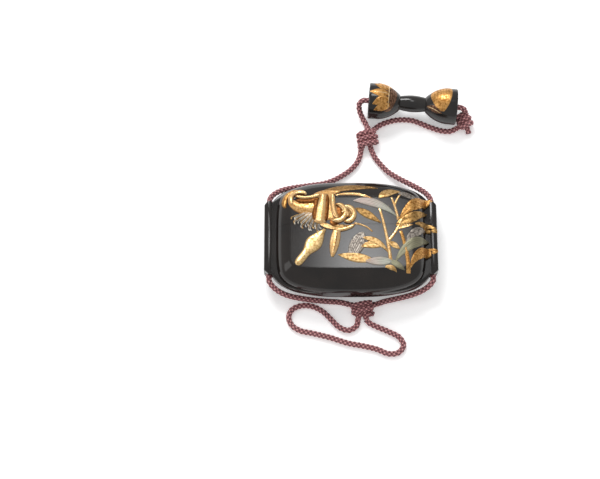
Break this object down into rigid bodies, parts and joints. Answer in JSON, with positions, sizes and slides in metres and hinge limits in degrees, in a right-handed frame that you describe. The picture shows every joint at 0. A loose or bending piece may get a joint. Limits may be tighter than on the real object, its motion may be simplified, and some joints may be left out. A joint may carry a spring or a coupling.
{
  "type": "inro case with netsuke",
  "caption": "Wide lacquered inro, a flat hollow case with a lift-off lid, raised lilies on its front, silk cord in side runners, and a drum-shaped netsuke.",
  "frame": {"origin": "middle of the flat back panel, which lies on the table", "axes": "+Z out of the decorated front, +Y towards the lid and the netsuke, +X towards the right-hand cord runner"},
  "size_m": [0.1065, 0.1429, 0.0231],
  "materials": {
    "black_lacquer": "polished black urushi lacquer over a thin wood core",
    "netsuke_lacquer": "black and gold lacquer over turned wood",
    "silk_cord": "round braided silk, dusty purple-red",
    "gold_relief": "burnished gold powder over raised lacquer",
    "silver_relief": "silver powder and tin over raised lacquer",
    "shell_inlay": "iridescent mother-of-pearl inlay"
  },
  "bodies": {
    "root": {"case_body": "black_lacquer", "case_lid": "black_lacquer", "netsuke": "netsuke_lacquer", "cord_in_netsuke": "silk_cord", "cord_in_left_runner": "silk_cord", "cord_in_right_runner": "silk_cord", "cord_top_left": "silk_cord", "cord_top_right": "silk_cord", "cord_bottom_left": "silk_cord", "cord_bottom_right": "silk_cord", "cord_loop": "silk_cord", "cord_inner": "silk_cord", "cord_outer": "silk_cord", "cord_netsuke_end": "silk_cord", "knot_upper": "silk_cord", "knot_lower": "silk_cord", "knot_end": "silk_cord"}
  },
  "joints": []
}
